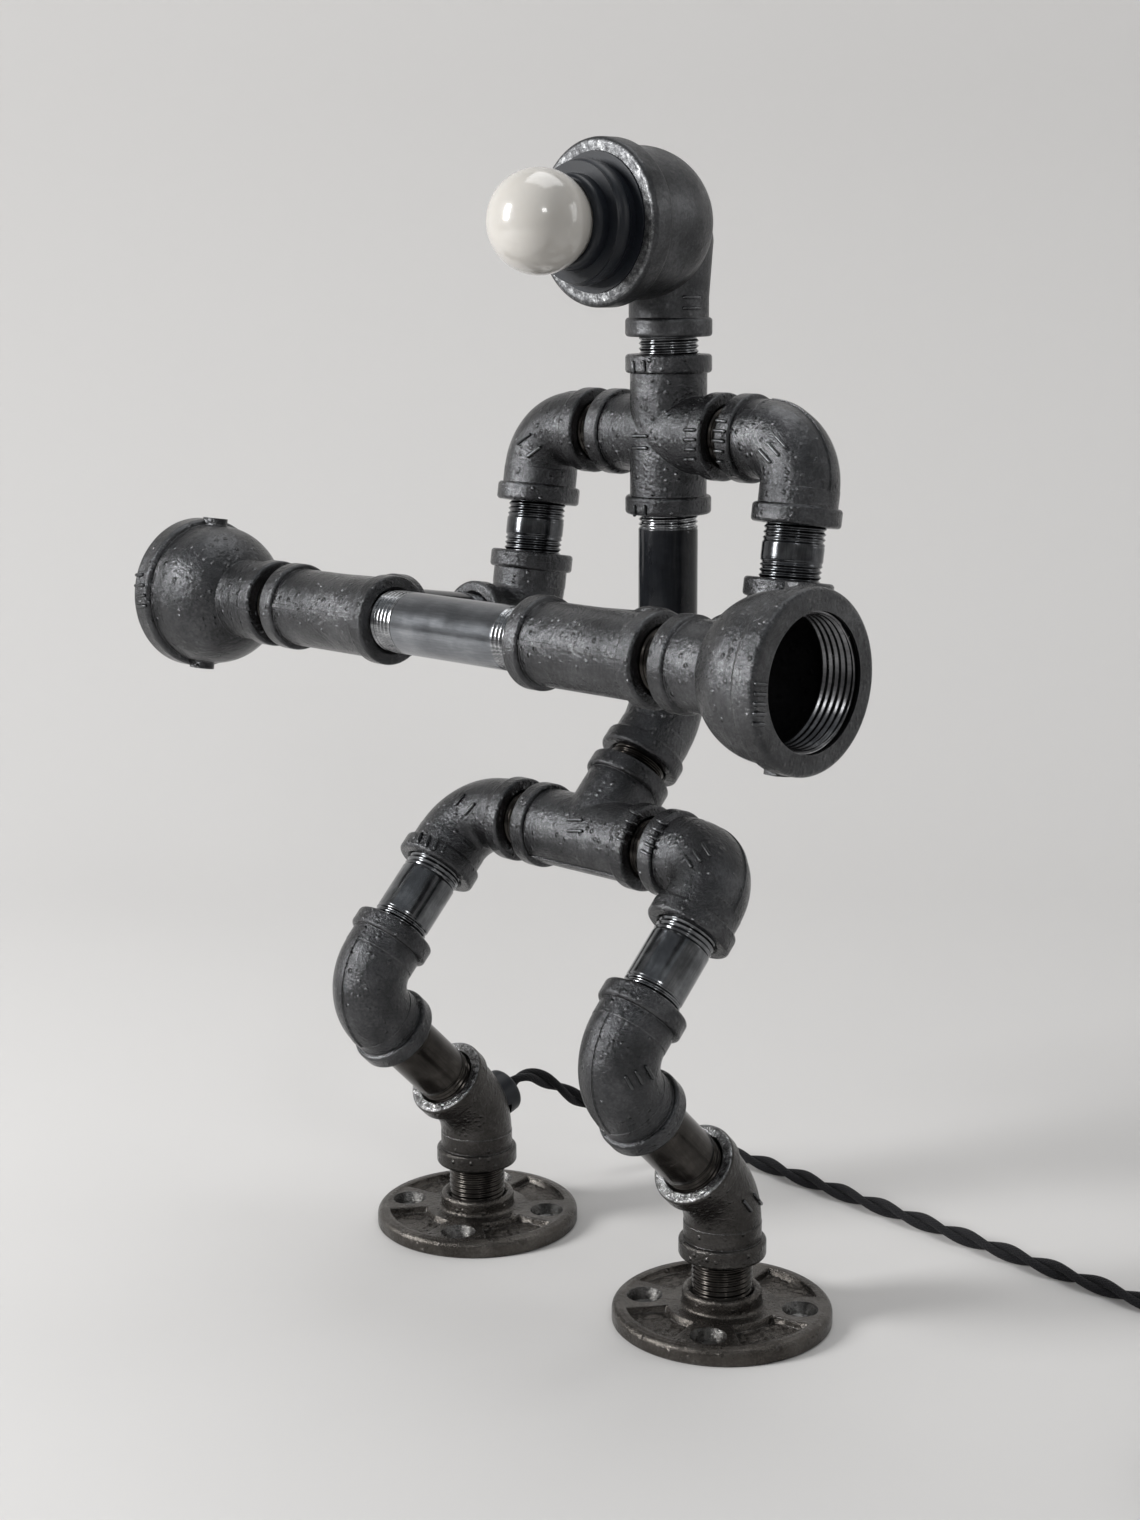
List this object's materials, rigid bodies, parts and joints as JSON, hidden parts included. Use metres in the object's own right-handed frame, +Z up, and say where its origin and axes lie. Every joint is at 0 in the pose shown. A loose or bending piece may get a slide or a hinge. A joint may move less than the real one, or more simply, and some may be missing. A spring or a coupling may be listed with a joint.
{
  "type": "industrial pipe table lamp",
  "caption": "Table lamp of dark iron pipe fittings shaped as a crouching figure that holds a belled barrel, round opal bulb as its face.",
  "frame": {"origin": "centre of the lamp's box on the table, without its cord", "axes": "+Z up, +X along the shoulders and the barrel towards the figure's right bell in the picture, -Y the way the figure faces"},
  "size_m": [0.4785, 0.212, 0.4029],
  "materials": {
    "cast_fitting": "dark oiled malleable iron, grainy as cast",
    "flange_iron": "glossy black oiled casting",
    "steel_pipe": "dark shiny steel, cut threads at both ends",
    "black_pipe": "smooth black, satin",
    "black_rubber": "satin moulded rubber",
    "holder_plastic": "matt bakelite",
    "brass": "plain brass",
    "opal_glass": "opal white, glossy",
    "bulb_cap_metal": "bright screw cap",
    "inner_cable": "round black cable",
    "cloth_cord": "black braided cloth, twisted strands",
    "cord_plastic": "black moulded plastic",
    "rocker_plastic": "black moulded plastic",
    "tie_fabric": "black hook-and-loop strap",
    "pin_brass": "nickel-plated brass"
  },
  "bodies": {
    "legs": {"foot_flange_left": "flange_iron", "foot_flange_right": "flange_iron", "foot_nipple_left": "steel_pipe", "foot_nipple_right": "steel_pipe", "ankle_elbow_left": "cast_fitting", "ankle_elbow_right": "cast_fitting", "shin_nipple_left": "steel_pipe", "shin_nipple_right": "steel_pipe", "knee_elbow_left": "cast_fitting", "knee_elbow_right": "cast_fitting", "thigh_nipple_left": "steel_pipe", "thigh_nipple_right": "steel_pipe", "hip_elbow_left": "cast_fitting", "hip_elbow_right": "cast_fitting", "leg_cable": "inner_cable", "cord_grommet": "black_rubber", "cord_lead": "cloth_cord", "switch_case": "cord_plastic", "cord_link": "cloth_cord", "cord_coil": "cloth_cord", "coil_tie": "tie_fabric", "cord_tail": "cloth_cord", "plug_body": "cord_plastic", "plug_pins": "pin_brass"},
    "pelvis": {"hip_nipples": "steel_pipe", "pelvis_tee": "cast_fitting", "waist_nipple": "steel_pipe", "waist_elbow": "cast_fitting", "pelvis_cable": "inner_cable"},
    "torso": {"torso_pipe": "black_pipe", "chest_cross": "cast_fitting", "neck_nipple": "steel_pipe", "shoulder_nipples": "steel_pipe", "torso_cable": "inner_cable"},
    "arms": {"shoulder_elbow_left": "cast_fitting", "shoulder_elbow_right": "cast_fitting", "upper_arm_nipple_left": "steel_pipe", "upper_arm_nipple_right": "steel_pipe", "arm_elbow_left": "cast_fitting", "arm_elbow_right": "cast_fitting", "forearm_nipple_left": "steel_pipe", "forearm_nipple_right": "steel_pipe", "barrel_tee_left": "cast_fitting", "barrel_tee_right": "cast_fitting", "barrel_pipe": "steel_pipe", "bell_nipples": "steel_pipe", "bell_reducer_left": "cast_fitting", "bell_reducer_right": "cast_fitting"},
    "head": {"head_elbow": "cast_fitting", "holder_sleeve": "black_rubber", "holder_body": "holder_plastic", "holder_shell": "brass", "holder_contact": "brass", "head_cable": "inner_cable"},
    "bulb": {"bulb_globe": "opal_glass", "bulb_cap": "bulb_cap_metal", "bulb_contact": "bulb_cap_metal"},
    "rocker": {"switch_rocker": "rocker_plastic"}
  },
  "joints": [
    {"name": "hip_lean", "type": "hinge", "parent": "legs", "child": "pelvis", "pos_m": [0, 0.01754, 0.16267], "axis": [1, 0, 0], "range_deg": [-10, 10]},
    {"name": "waist_turn", "type": "hinge", "parent": "pelvis", "child": "torso", "pos_m": [0, 0.05608, 0.20121], "axis": [0, 0, 1], "range_deg": [-45, 45]},
    {"name": "arm_swing", "type": "hinge", "parent": "torso", "child": "arms", "pos_m": [0, 0.05608, 0.30221], "axis": [-1, 0, 0], "range_deg": [-15, 40]},
    {"name": "head_turn", "type": "hinge", "parent": "torso", "child": "head", "pos_m": [0, 0.05608, 0.37471], "axis": [0, 0, 1], "range_deg": [-60, 60]},
    {"name": "bulb_screw", "type": "hinge", "parent": "head", "child": "bulb", "pos_m": [0, 0.05608, 0.37471], "axis": [0, -1, 0], "range_deg": [0, 360]},
    {"name": "switch_rock", "type": "hinge", "parent": "legs", "child": "rocker", "pos_m": [0.237, 0.12434, 0.0104], "axis": [0, 1, 0], "range_deg": [-16, 0]}
  ]
}
